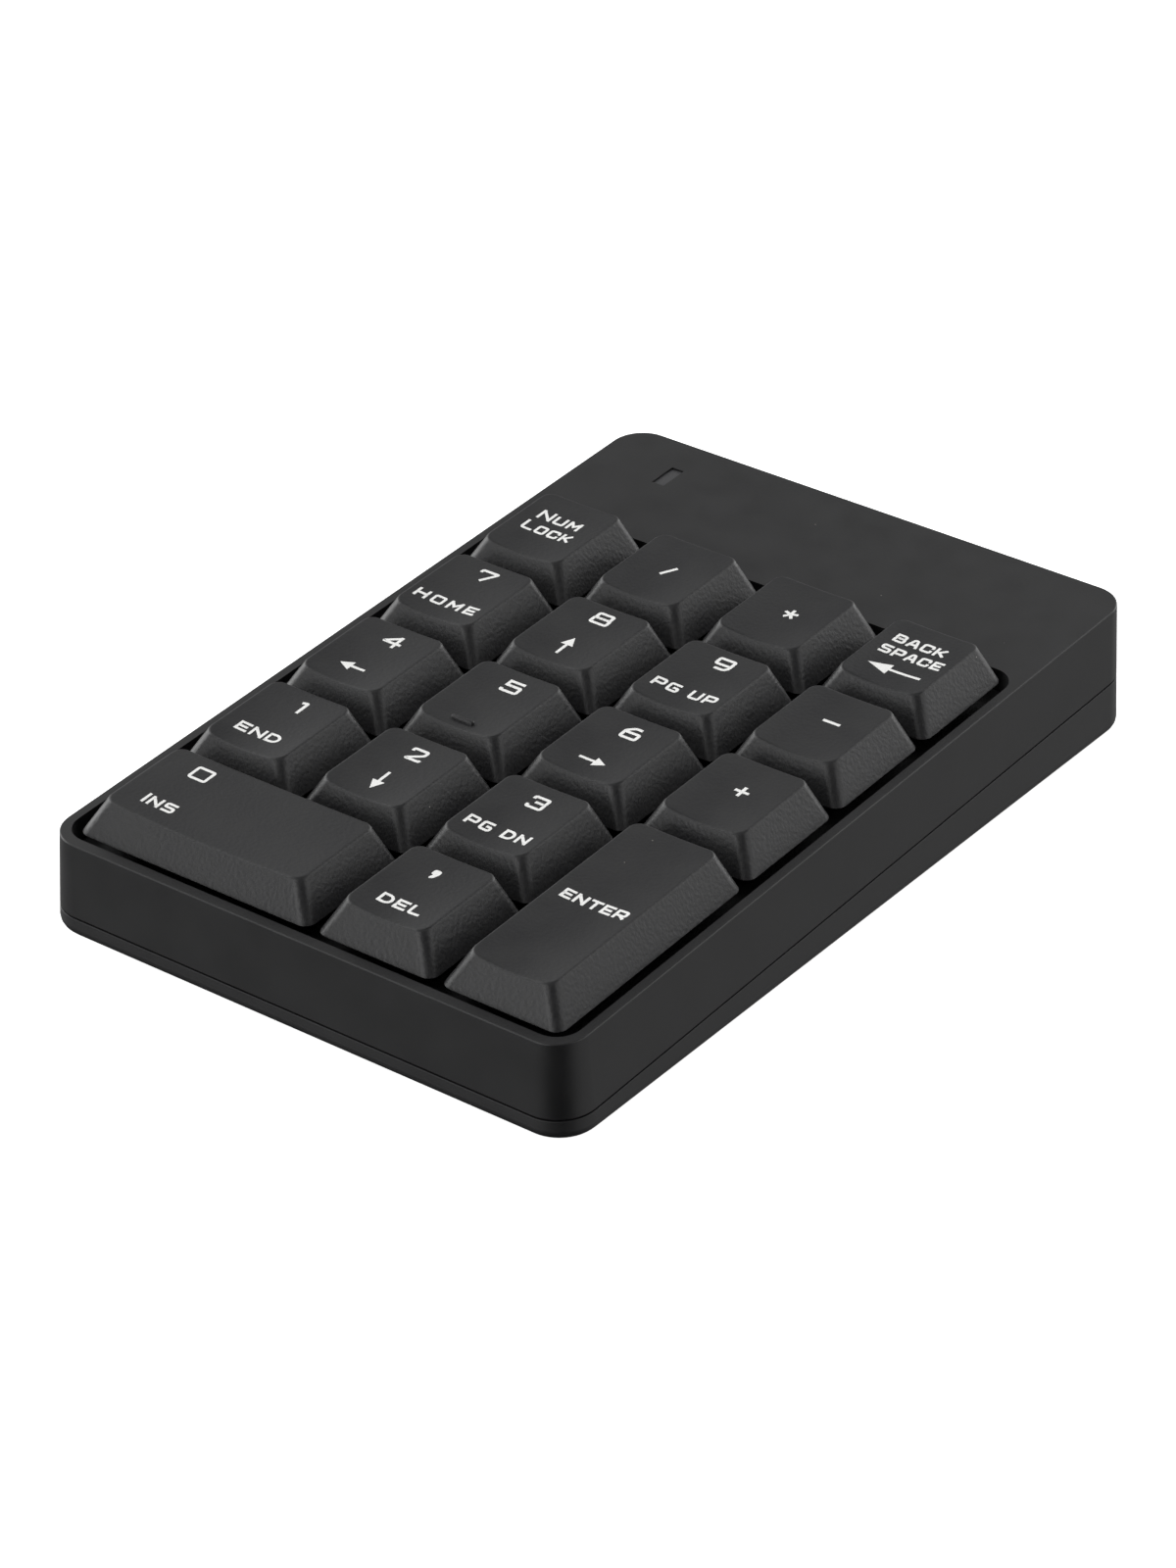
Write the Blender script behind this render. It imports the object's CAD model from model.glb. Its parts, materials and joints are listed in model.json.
"""Looks of a wireless numeric keypad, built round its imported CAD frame.

Lengths in the classes are millimetres. Points are carried on the deck, the case's sloped top: x runs
across, s runs up the slope from the front face, and n stands square to the deck, 0 on the deck itself.
"""
import enum
import json
import logging
import math
from collections.abc import Callable, Iterator
from contextlib import contextmanager
from dataclasses import dataclass

import bmesh
import bpy
import numpy as np
from mathutils import Matrix, Vector
from mathutils.bvhtree import BVHTree

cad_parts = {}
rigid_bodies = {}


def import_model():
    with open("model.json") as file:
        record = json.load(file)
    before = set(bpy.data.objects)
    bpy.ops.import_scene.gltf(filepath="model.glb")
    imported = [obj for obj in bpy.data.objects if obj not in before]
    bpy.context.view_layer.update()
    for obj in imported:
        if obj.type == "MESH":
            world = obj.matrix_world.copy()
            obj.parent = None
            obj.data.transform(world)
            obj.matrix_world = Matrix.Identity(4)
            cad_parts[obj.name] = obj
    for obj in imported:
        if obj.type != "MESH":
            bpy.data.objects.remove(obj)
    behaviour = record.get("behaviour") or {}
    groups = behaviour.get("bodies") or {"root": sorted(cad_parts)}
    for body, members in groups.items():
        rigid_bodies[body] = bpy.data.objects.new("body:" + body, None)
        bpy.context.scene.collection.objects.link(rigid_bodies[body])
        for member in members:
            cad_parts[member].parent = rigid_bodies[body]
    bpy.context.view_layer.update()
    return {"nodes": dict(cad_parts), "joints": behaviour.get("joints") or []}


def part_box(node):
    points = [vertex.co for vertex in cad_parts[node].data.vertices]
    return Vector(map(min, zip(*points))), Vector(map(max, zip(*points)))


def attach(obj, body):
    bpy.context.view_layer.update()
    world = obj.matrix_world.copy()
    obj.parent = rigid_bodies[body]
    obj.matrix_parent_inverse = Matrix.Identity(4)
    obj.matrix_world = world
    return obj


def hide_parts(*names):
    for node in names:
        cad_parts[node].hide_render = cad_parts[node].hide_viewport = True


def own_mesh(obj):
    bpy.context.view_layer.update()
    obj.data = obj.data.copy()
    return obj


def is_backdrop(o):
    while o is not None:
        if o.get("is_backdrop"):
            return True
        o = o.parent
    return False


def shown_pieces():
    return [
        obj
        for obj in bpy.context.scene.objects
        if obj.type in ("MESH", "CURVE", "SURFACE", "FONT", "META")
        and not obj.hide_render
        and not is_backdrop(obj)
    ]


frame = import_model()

log = logging.getLogger("keypad")
MM = 0.001
Array = np.ndarray
Tree = bpy.types.NodeTree
Node = bpy.types.Node
Socket = bpy.types.NodeSocket
# Numbers of a Mix node's sockets for colours: the two that it takes, and the one that it gives.
MIX_FIRST, MIX_SECOND, MIX_RESULT = 6, 7, 2

# Points this close, in metres, are one: in a drawn mesh, and in the CAD's own.
WELD, CAD_WELD = 2e-6, 4e-6
# World y and z, in millimetres, of the line where the deck meets the front face.
DECK_FRONT = (-61.6, 14.25)
# A key counts as long if half of its width or length is more than this.
LONG_KEY = 12

# Where things show in the photograph, measured in a frame of this size.
IMAGE_W, IMAGE_H = 1176, 1568
IMAGE_L = max(IMAGE_W, IMAGE_H)
IMAGE_POINTS: dict[str, tuple[float, float]] = {
    "case_left": (59.2, 830.0),
    "case_right": (1115.4, 713.0),
    "case_top": (642.0, 432.7),
    "case_bottom": (558.6, 1134.8),
    "status_window": (667.8, 476.5),
    "num_lock": (553.7, 527.0),
    "divide": (668.7, 571.3),
    "multiply": (790.7, 614.5),
    "space_word": (911.2, 657.9),
    "seven": (486.2, 576.8),
    "home": (446.4, 602.9),
    "five": (512.8, 687.5),
    "left_arrow": (352.4, 666.4),
    "two": (417.0, 755.2),
    "end": (258.8, 732.9),
    "zero": (202.0, 774.8),
    "insert": (160.0, 803.9),
    "comma": (435.0, 874.7),
    "plus": (741.9, 791.9),
    "enter": (594.9, 905.3),
}


# ---- Small helpers --------------------------------------------------------------------------


def to_linear(hex_code: str) -> tuple[float, float, float, float]:
    """Turns an sRGB colour into the linear values that the shaders take.

    Args:
        hex_code: Six hex digits, without a hash.

    Returns:
        Red, green, blue and alpha.
    """
    srgb = np.array([int(hex_code[i:i + 2], 16) for i in (0, 2, 4)]) / 255
    linear = np.where(srgb <= 0.04045, srgb / 12.92, ((srgb + 0.055) / 1.055) ** 2.4)
    return (*(float(v) for v in linear), 1.0)


def add_node(tree: Tree, kind: str, settings: dict | None = None, values: dict | None = None,
             links: dict | None = None) -> Node:
    """Adds one shader node.

    Args:
        tree: The node tree of a material or of the world.
        kind: The node's type, without the ShaderNode prefix.
        settings: Properties of the node.
        values: Constants for its input sockets, by their names or numbers.
        links: What is joined to its input sockets: an output socket, or a node for its first one.

    Returns:
        The new node.
    """
    node = tree.nodes.new("ShaderNode" + kind)
    for key, value in (settings or {}).items():
        setattr(node, key, value)
    for key, value in (values or {}).items():
        node.inputs[key].default_value = value
    for key, source in (links or {}).items():
        output = source.outputs[0] if isinstance(source, Node) else source
        tree.links.new(output, node.inputs[key])
    return node


@dataclass(frozen=True)
class Deck:
    """The sloped top of the case, as a place to draw on: its front line, and its tilt in radians."""

    front_y: float
    front_z: float
    tilt: float

    def place(self, x: Array | float, s: Array | float, n: Array | float) -> Array:
        """Turns points on the deck into points of the world.

        From the front line a point goes s along the slope and n square to it, both turned by the tilt.

        Args:
            x: Distances across, in millimetres.
            s: Distances up the slope from the front line.
            n: Heights square to the deck.

        Returns:
            World points in metres.
        """
        x, s, n = np.broadcast_arrays(*(np.asarray(v, float) for v in (x, s, n)))
        sin, cos = math.sin(self.tilt), math.cos(self.tilt)
        y = self.front_y + s * cos - n * sin
        z = self.front_z + s * sin + n * cos
        return np.stack([x, y, z], -1) * MM

    def slope_of(self, y: Array | float, n: Array | float) -> Array | float:
        """Distance up the slope of a point at world y and level n, both in millimetres."""
        return (y - self.front_y + n * math.sin(self.tilt)) / math.cos(self.tilt)

    def local(self, points: Array) -> Array:
        """Turns points of the world into points on the deck, the reverse of place.

        Args:
            points: World points in metres.

        Returns:
            Their x, s and n in millimetres.
        """
        sin, cos = math.sin(self.tilt), math.cos(self.tilt)
        x, y, z = np.moveaxis(np.asarray(points) / MM, -1, 0)
        y, z = y - self.front_y, z - self.front_z
        return np.stack([x, y * cos + z * sin, z * cos - y * sin], -1)


class Surface:
    """Collects grids of points, each row a profile's place along a path, and makes them one mesh."""

    def __init__(self) -> None:
        """Starts with nothing in it."""
        self.points: list[Array] = []
        self.faces: list[Array] = []
        self.count = 0

    def grid(self, points: Array, wrap_rows: bool = False, wrap_cols: bool = False) -> None:
        """Adds a grid of points as quads.

        Args:
            points: Rows by columns by three.
            wrap_rows: Whether the last row joins the first.
            wrap_cols: Whether the last column joins the first.
        """
        rows, cols = points.shape[:2]
        index = self.count + np.arange(rows * cols).reshape(rows, cols)
        r = np.arange(rows if wrap_rows else rows - 1)
        c = np.arange(cols if wrap_cols else cols - 1)
        rr, cc = (a.ravel() for a in np.meshgrid(r, c, indexing="ij"))
        r2, c2 = (rr + 1) % rows, (cc + 1) % cols
        self.points.append(points.reshape(-1, 3))
        self.faces.append(np.stack([index[rr, cc], index[rr, c2], index[r2, c2], index[r2, cc]], 1))
        self.count += rows * cols

    def fan(self, ring: Array) -> None:
        """Closes a ring of points with triangles that meet in its middle.

        Args:
            ring: Points by three.
        """
        n = len(ring)
        index = self.count + np.arange(n)
        hub = np.full(n, self.count + n)
        self.points.append(np.vstack([ring, ring.mean(0)[None]]))
        self.faces.append(np.stack([index, np.roll(index, -1), hub], 1))
        self.count += n + 1

    def strip(self, rows: Array, closed: bool = False) -> None:
        """Adds a solid strip of rows of four points, its ends shut unless the last joins the first.

        Args:
            rows: Rows by four by three, each row going round the strip.
            closed: Whether the strip is a loop.
        """
        self.grid(rows, wrap_rows=closed, wrap_cols=True)
        if not closed:
            for end in (rows[0], rows[-1]):
                self.grid(end[[0, 1, 3, 2]].reshape(2, 2, 3))

    def box(self, place: Callable[..., Array], x: Array, y: Array, z: Array) -> None:
        """Adds a box.

        Args:
            place: Takes x, y and height arrays and gives world points.
            x: Its two x.
            y: Its two y.
            z: Its two heights.
        """
        ring_x, ring_y = np.array([x[0], x[1], x[1], x[0]]), np.array([y[0], y[0], y[1], y[1]])
        self.strip(np.stack([place(ring_x, ring_y, level) for level in z]))

    def lathe(self, profile: Array, place: Callable[..., Array], steps: int = 40) -> None:
        """Turns a profile round an axis: x and y are its radius times the angle's cosine and sine.

        Args:
            profile: Radius and height of each point. Its ends lie on the axis, or are one point.
            place: Takes x, y and height arrays and gives world points.
            steps: How many steps go round.
        """
        a = np.linspace(0, 2 * math.pi, steps, endpoint=False)
        radius, height = profile[:, :1], profile[:, 1:]
        x, y = radius * np.cos(a), radius * np.sin(a)
        self.grid(place(x, y, height + 0 * x), wrap_cols=True)

    def mesh(self, name: str) -> bpy.types.Mesh:
        """Joins what was collected, merges its doubles and turns its faces outwards.

        Args:
            name: The mesh's name.

        Returns:
            The mesh.
        """
        mesh = bpy.data.meshes.new(name)
        faces = [face for part in self.faces for face in part.tolist()]
        mesh.from_pydata(np.vstack(self.points), [], faces)
        with editing(mesh) as work:
            weld(work, WELD)
            bmesh.ops.recalc_face_normals(work, faces=work.faces)
        return mesh


@contextmanager
def editing(mesh: bpy.types.Mesh) -> Iterator[bmesh.types.BMesh]:
    """Opens a mesh for editing, and writes it back at the end of the block.

    Args:
        mesh: The mesh to edit.

    Yields:
        The mesh in its form for editing.
    """
    work = bmesh.new()
    work.from_mesh(mesh)
    yield work
    work.to_mesh(mesh)
    work.free()


def weld(work: bmesh.types.BMesh, reach: float) -> None:
    """Merges points closer than a reach in metres, and drops what is thinner than half of it."""
    bmesh.ops.remove_doubles(work, verts=work.verts, dist=reach)
    bmesh.ops.dissolve_degenerate(work, edges=work.edges, dist=reach / 2)


@dataclass(frozen=True)
class Edge:
    """How a piece's edges are finished: a small bevel, and the angle from which an edge is sharp."""

    sharp: float
    bevel: float = 0.0
    segments: int = 2

    def apply(self, piece: bpy.types.Object) -> None:
        """Puts the bevel and smooth shading on a piece.

        Args:
            piece: The mesh object to finish.
        """
        piece.data.shade_smooth()
        piece.data.set_sharp_from_angle(angle=math.radians(self.sharp))
        if self.bevel > 0:
            bevel = piece.modifiers.new("edge", "BEVEL")
            bevel.width = self.bevel * MM
            bevel.segments = self.segments
            bevel.limit_method = "ANGLE"
            bevel.angle_limit = math.radians(self.sharp)
        weighted = piece.modifiers.new("normals", "WEIGHTED_NORMAL")
        weighted.keep_sharp = self.bevel == 0
        weighted.weight = 60


def add_piece(name: str, mesh: bpy.types.Mesh, finish: "Finish", body: str, edge: Edge, slot: str,
              replaces: tuple[str, ...] = ()) -> bpy.types.Object:
    """Makes an object of a mesh, gives it its finish and its edges, and sets it on its body.

    Args:
        name: The piece's name.
        mesh: Its mesh, in the frame's own place.
        finish: What it is made of.
        body: The CAD body that it moves with.
        edge: How its edges are finished.
        slot: The record's material slot that its finish comes from.
        replaces: CAD nodes that it stands for.

    Returns:
        The new object.
    """
    piece = bpy.data.objects.new(name, mesh)
    bpy.context.scene.collection.objects.link(piece)
    mesh.materials.append(finish.material())
    edge.apply(piece)
    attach(piece, body)
    if replaces:
        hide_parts(*replaces)
    log.info("%s: %d faces on %s", name, len(mesh.polygons), body)
    return piece


def merged_copy(node: str, flat: float = 1.0) -> bpy.types.Mesh:
    """Copies a CAD node's mesh, merges its loose triangles and joins those that lie in one plane.

    Args:
        node: The CAD node.
        flat: Angle in degrees below which neighbours count as one plane.

    Returns:
        The new mesh.
    """
    mesh = frame["nodes"][node].data.copy()
    mesh.materials.clear()
    with editing(mesh) as work:
        weld(work, CAD_WELD)
        bmesh.ops.dissolve_limit(work, angle_limit=math.radians(flat), verts=work.verts,
                                 edges=work.edges, use_dissolve_boundaries=False)
    return mesh


def dress_nodes(edge: Edge, rows: tuple[tuple[str, "Finish", str, str], ...],
                suffix: str = "part") -> None:
    """Makes a piece of the own form of each of some CAD nodes.

    Args:
        edge: How their edges are finished.
        rows: The node, its finish, its body and its material slot, for each.
        suffix: What a piece's name has after its node's name.
    """
    for node, finish, body, slot in rows:
        add_piece(f"{node}_{suffix}", merged_copy(node), finish, body, edge, slot, (node,))


# ---- Finishes -------------------------------------------------------------------------------


class Finish:
    """A material, built once and shared."""

    name: str

    def material(self) -> bpy.types.Material:
        """Gives the Blender material of this finish, which is made the first time it is asked for.

        Returns:
            The material.
        """
        found = bpy.data.materials.get(self.name)
        if found is None:
            found = bpy.data.materials.new(self.name)
            found.use_nodes = True
            found.node_tree.nodes.clear()
            shader = self.shade(found.node_tree)
            add_node(found.node_tree, "OutputMaterial", links={"Surface": shader})
        return found

    def shade(self, tree: Tree) -> Node:
        """Builds the nodes up to the surface shader, which it returns; each kind has its own."""
        raise NotImplementedError


@dataclass(frozen=True)
class MouldedPlastic(Finish):
    """Plastic from a spark-eroded mould: a matt grain, faint mottling and a few specks of dust.

    The grain is drawn two to five times as coarse as the real 0.1 mm one, so that it shows in a
    render. It may be deeper on walls than on level faces, as in a mould whose top is polished.
    """

    name: str
    colour: str
    light_colour: str
    roughness: float
    ior: float = 1.48
    mottle_mm: float = 6.0
    grain_mm: float = 0.22
    grain_depth_mm: float = 0.006
    soft_grain: float = 0.35
    wall_grain: float = 1.0
    speck_colour: str = "8a8680"
    speck_share: float = 0.0
    speck_cell_mm: float = 2.2
    # Where a speck begins and where it is full, as shares of a cell.
    speck_reach: tuple[float, float] = (0.05, 0.035)

    def shade(self, tree: Tree) -> Node:
        """Mottled colour and roughness, a grain as bump, and rare pale specks.

        Args:
            tree: The material's node tree.

        Returns:
            The surface shader.
        """
        place = add_node(tree, "TexCoord").outputs["Object"]
        mottle = add_node(tree, "TexNoise", links={"Vector": place}, values={
            "Scale": 1 / (self.mottle_mm * MM), "Detail": 4.0})
        share = add_node(tree, "MapRange", links={"Value": mottle}, values={
            "From Min": 0.35, "From Max": 0.65})
        colour = add_node(tree, "Mix", {"data_type": "RGBA"}, links={"Factor": share}, values={
            MIX_FIRST: to_linear(self.colour),
            MIX_SECOND: to_linear(self.light_colour)}).outputs[MIX_RESULT]
        if self.speck_share > 0:
            colour = self.specks(tree, place, colour)
        relief = add_node(tree, "TexNoise", links={"Vector": place}, values={
            "Scale": 1 / (self.grain_mm * MM), "Detail": 2.0, "Roughness": self.soft_grain})
        if self.wall_grain != 1:
            relief = self.deeper_on_walls(tree, relief)
        bump = add_node(tree, "Bump", links={"Height": relief}, values={
            "Distance": self.grain_depth_mm * MM})
        rough = add_node(tree, "MapRange", links={"Value": mottle}, values={
            "From Min": 0.3, "From Max": 0.7,
            "To Min": self.roughness - 0.04, "To Max": self.roughness + 0.04})
        return add_node(tree, "BsdfPrincipled", values={"IOR": self.ior}, links={
            "Base Color": colour, "Roughness": rough, "Normal": bump})

    def deeper_on_walls(self, tree: Tree, grain: Node) -> Node:
        """Deepens the grain where a face is steep: fully from 60 degrees, not at all below 26.

        Args:
            tree: The material's node tree.
            grain: The grain, whose height is about one half on the whole.

        Returns:
            A node that gives the height about zero, scaled by the steepness of the face.
        """
        normal = add_node(tree, "NewGeometry").outputs["Normal"]
        upward = add_node(tree, "SeparateXYZ", links={"Vector": normal}).outputs["Z"]
        depth = add_node(tree, "MapRange", links={"Value": upward}, values={
            "From Min": 0.5, "From Max": 0.9, "To Min": self.wall_grain, "To Max": 1.0})
        about_zero = add_node(tree, "Math", {"operation": "SUBTRACT"}, {1: 0.5}, {0: grain})
        return add_node(tree, "Math", {"operation": "MULTIPLY"}, links={0: about_zero, 1: depth})

    def specks(self, tree: Tree, place: Socket, under: Socket) -> Socket:
        """Lays rare pale specks of dust over a colour.

        Space is split into cells round random points. A few of the cells are chosen by the random
        number that each has, and a speck is what lies nearest to such a cell's point.

        Args:
            tree: The material's node tree.
            place: Object coordinates.
            under: The colour below the specks.

        Returns:
            The colour with its specks.
        """
        cells = add_node(tree, "TexVoronoi", links={"Vector": place}, values={
            "Scale": 1 / (self.speck_cell_mm * MM)})
        begins, full = self.speck_reach
        near = add_node(tree, "MapRange", links={"Value": cells.outputs["Distance"]}, values={
            "From Min": begins, "From Max": full})
        chance = add_node(tree, "SeparateColor", links={"Color": cells.outputs["Color"]})
        chosen = add_node(tree, "Math", {"operation": "LESS_THAN"}, {1: self.speck_share}, {0: chance})
        speck = add_node(tree, "Math", {"operation": "MULTIPLY"}, links={0: near, 1: chosen})
        return add_node(tree, "Mix", {"data_type": "RGBA"}, {MIX_SECOND: to_linear(self.speck_colour)},
                        {"Factor": speck, MIX_FIRST: under}).outputs[MIX_RESULT]


@dataclass(frozen=True)
class PlainCoat(Finish):
    """An even skin, such as ink, rubber or silicone, with a fine noise in its roughness and bump."""

    name: str
    colour: str
    roughness: float
    ior: float = 1.5
    grain_mm: float = 0.3
    grain_depth_mm: float = 0.003
    subsurface: float = 0.0

    def shade(self, tree: Tree) -> Node:
        """One colour with a faint change in tone, a noise in the roughness and a low bump.

        Args:
            tree: The material's node tree.

        Returns:
            The surface shader.
        """
        place = add_node(tree, "TexCoord").outputs["Object"]
        grain = add_node(tree, "TexNoise", links={"Vector": place}, values={
            "Scale": 1 / (self.grain_mm * MM), "Detail": 3.0})
        rough = add_node(tree, "MapRange", links={"Value": grain}, values={
            "To Min": self.roughness - 0.05, "To Max": self.roughness + 0.05})
        value = add_node(tree, "MapRange", links={"Value": grain}, values={
            "To Min": 0.94, "To Max": 1.06})
        tone = add_node(tree, "HueSaturation", links={"Value": value}, values={
            "Color": to_linear(self.colour)})
        bump = add_node(tree, "Bump", links={"Height": grain}, values={
            "Distance": self.grain_depth_mm * MM})
        return add_node(tree, "BsdfPrincipled", values={
            "IOR": self.ior, "Subsurface Weight": self.subsurface, "Subsurface Scale": 0.5 * MM},
            links={"Base Color": tone, "Roughness": rough, "Normal": bump})


@dataclass(frozen=True)
class DrawnMetal(Finish):
    """Metal with fine lines from drawing, rolling or turning along one axis."""

    name: str
    colour: str
    roughness: float
    line_mm: float = 0.12
    line_depth_mm: float = 0.002
    stretch: tuple[float, float, float] = (0.05, 1.0, 1.0)

    def shade(self, tree: Tree) -> Node:
        """A metal whose roughness and bump run in long thin lines.

        Args:
            tree: The material's node tree.

        Returns:
            The surface shader.
        """
        place = add_node(tree, "TexCoord").outputs["Object"]
        drawn_out = add_node(tree, "Mapping", links={"Vector": place}, values={"Scale": self.stretch})
        lines = add_node(tree, "TexNoise", links={"Vector": drawn_out}, values={
            "Scale": 1 / (self.line_mm * MM), "Detail": 3.0})
        rough = add_node(tree, "MapRange", links={"Value": lines}, values={
            "To Min": self.roughness - 0.08, "To Max": self.roughness + 0.08})
        bump = add_node(tree, "Bump", links={"Height": lines}, values={
            "Distance": self.line_depth_mm * MM})
        return add_node(tree, "BsdfPrincipled", links={"Roughness": rough, "Normal": bump}, values={
            "Base Color": to_linear(self.colour), "Metallic": 1.0})


@dataclass(frozen=True)
class ClearPlastic(Finish):
    """Clear or tinted plastic that passes light."""

    name: str
    colour: str
    roughness: float
    ior: float = 1.49
    clear: float = 0.8
    haze_mm: float = 1.5

    def shade(self, tree: Tree) -> Node:
        """A transmitting shader with a faint waviness in its roughness.

        Args:
            tree: The material's node tree.

        Returns:
            The surface shader.
        """
        place = add_node(tree, "TexCoord").outputs["Object"]
        haze = add_node(tree, "TexNoise", links={"Vector": place}, values={
            "Scale": 1 / (self.haze_mm * MM)})
        rough = add_node(tree, "MapRange", links={"Value": haze}, values={
            "To Min": self.roughness - 0.03, "To Max": self.roughness + 0.03})
        return add_node(tree, "BsdfPrincipled", links={"Roughness": rough}, values={
            "Base Color": to_linear(self.colour), "IOR": self.ior, "Transmission Weight": self.clear})


@dataclass(frozen=True)
class StudioPaper(Finish):
    """The floor's white paper, lit a little from within so that it stays white in the render."""

    name: str = "studio_paper_white"
    colour: str = "f2f2f2"
    roughness: float = 0.9
    glow: float = 0.88

    def shade(self, tree: Tree) -> Node:
        """A matt white with an even glow."""
        return add_node(tree, "BsdfPrincipled", values={
            "Base Color": to_linear(self.colour), "Roughness": self.roughness,
            "Emission Color": (1, 1, 1, 1), "Emission Strength": self.glow})


# ABS from a spark-eroded mould: near black, matt, with a fine even grain.
CASE_ABS = MouldedPlastic("ABS_black_case", "171718", "1a1a1b", 0.43, speck_share=0.02)
LOWER_ABS = MouldedPlastic("ABS_black_lower_shell", "19191a", "1c1c1d", 0.48, speck_share=0.015)
# Keycaps are the same ABS from a coarser mould, so their faces show the grain.
KEY_ABS = MouldedPlastic("ABS_black_keycap", "18181a", "1c1c1d", 0.43, grain_mm=0.5,
                         grain_depth_mm=0.022, speck_share=0.03, wall_grain=2.4)
# ABS from a polished mould: deep black with a satin sheen, inside the case and on the switch.
GUIDE_ABS = MouldedPlastic("ABS_black_guide", "0c0c0c", "0e0e0e", 0.45, grain_depth_mm=0.002)
# Pad-printed ink: opaque, slightly satin white.
LEGEND_INK = PlainCoat("pad_print_white_ink", "f8f8f6", 0.5, grain_depth_mm=0.001)
# Moulded silicone rubber: milky, soft sheen.
DOME_SILICONE = PlainCoat("silicone_dome_mat", "cfcfc8", 0.45, ior=1.41, subsurface=0.3)
# Foot rubber: dark, dull, faintly dusty.
FOOT_RUBBER = PlainCoat("rubber_foot", "1b1b1a", 0.78, grain_mm=0.4, grain_depth_mm=0.01)
# Polyester film with printed silver tracks below it: pale green grey, smooth.
CONTACT_FILM = PlainCoat("polyester_contact_film", "c9d3cc", 0.3, ior=1.57, grain_depth_mm=0.001)
# Galvanised sheet steel, rolled: grey, half matt, with broad faint lines.
PLATE_STEEL = DrawnMetal("galvanised_sheet_steel", "9fa2a3", 0.4, 0.3)
# Spring wire, drawn: bright, with fine lines.
WIRE_STEEL = DrawnMetal("drawn_spring_wire", "b4b5b2", 0.3, 0.08)
# Nickel plate on the contacts and on the cell's can: bright and a little warm.
CONTACT_NICKEL = DrawnMetal("nickel_plate", "bdb8a8", 0.28, 0.1)
# Screws: black oxide in the case, dark and dull, and zinc plate on the board, pale and bright.
CASE_SCREW_STEEL = DrawnMetal("black_oxide_screw", "4a4a4c", 0.42, 0.1)
BOARD_SCREW_STEEL = DrawnMetal("zinc_plated_screw", "a9abaa", 0.35, 0.1)
# Glass-epoxy board under solder resist: deep green, satin.
BOARD_EPOXY = PlainCoat("glass_epoxy_green_resist", "164a2c", 0.35, ior=1.55, grain_mm=0.5)
# Moulded epoxy of the chip: black and dull.
CHIP_EPOXY = PlainCoat("moulded_epoxy_black", "141414", 0.55)
# Tinned small parts and the stamped can of the switch: grey metal, half bright.
PART_METAL = DrawnMetal("tinned_component", "a8a69c", 0.38, 0.2)
SWITCH_METAL = DrawnMetal("stamped_switch_can", "a5a7a6", 0.36, 0.2)
# Smoked acrylic that closes the status window: dark grey, hardly glossy.
WINDOW_ACRYLIC = PlainCoat("acrylic_smoked_window", "3c3c3e", 0.55, ior=1.49, grain_depth_mm=0.0005)
# Clear epoxy that the lamp is cast in: glossy, with a trace of green.
LED_RESIN = ClearPlastic("epoxy_led_resin", "e8f0e6", 0.12, 1.53, 0.6)
# Shrink film on the cell: plain blue, unprinted, satin.
BATTERY_FILM = PlainCoat("shrink_film_cell", "3b5f8a", 0.3, ior=1.52, grain_depth_mm=0.001)
# Seamless paper that the keypad stands on: even white, matt.
STUDIO_PAPER = StudioPaper()


# ---- Shapes in plan -------------------------------------------------------------------------


def rounded_ring(half_w: float, low: float, high: float, radius: float, arc: int,
                 front: Array, side: Array, back: Array) -> Array:
    """A rounded rectangle as one ring of points, from the middle of its front left corner.

    Each corner is a quarter circle in arc steps. The straights hold the given marks, which are places
    from -1 to 1 along the straight, apart from the back, whose marks are x itself in millimetres.

    Args:
        half_w: Half its width.
        low: Its front edge.
        high: Its back edge.
        radius: Its corner radius.
        arc: Steps in a corner.
        front: Marks along the front.
        side: Marks along each side.
        back: x of each mark along the back, from left to right.

    Returns:
        Points by two, without repeats, anticlockwise seen from above.
    """
    a = np.linspace(0, math.pi / 2, arc + 1)
    flat_x, mid, flat_y = half_w - radius, (low + high) / 2, (high - low) / 2 - radius

    def corner(cx: float, cy: float, start: float) -> Array:
        """One quarter circle about a centre, from a starting angle."""
        return np.stack([cx + radius * np.cos(start + a), cy + radius * np.sin(start + a)], 1)

    half = math.pi / 2
    front_left = corner(-flat_x, mid - flat_y, 2 * half)
    middle = arc // 2
    parts = [
        front_left[middle:],
        np.stack([front * flat_x, 0 * front + low], 1),
        corner(flat_x, mid - flat_y, 3 * half),
        np.stack([0 * side + half_w, mid + side * flat_y], 1),
        corner(flat_x, mid + flat_y, 0.0),
        np.stack([back[::-1], 0 * back + high], 1),
        corner(-flat_x, mid + flat_y, half),
        np.stack([0 * side - half_w, mid - side * flat_y], 1),
        front_left[:middle],
    ]
    return np.concatenate(parts)


# ---- Lettering ------------------------------------------------------------------------------


class Corner(enum.Enum):
    """How the corners of a stroke are drawn: how far from a corner its curve begins, in millimetres."""

    SHARP = 0.0
    SOFT = 0.28


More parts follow.
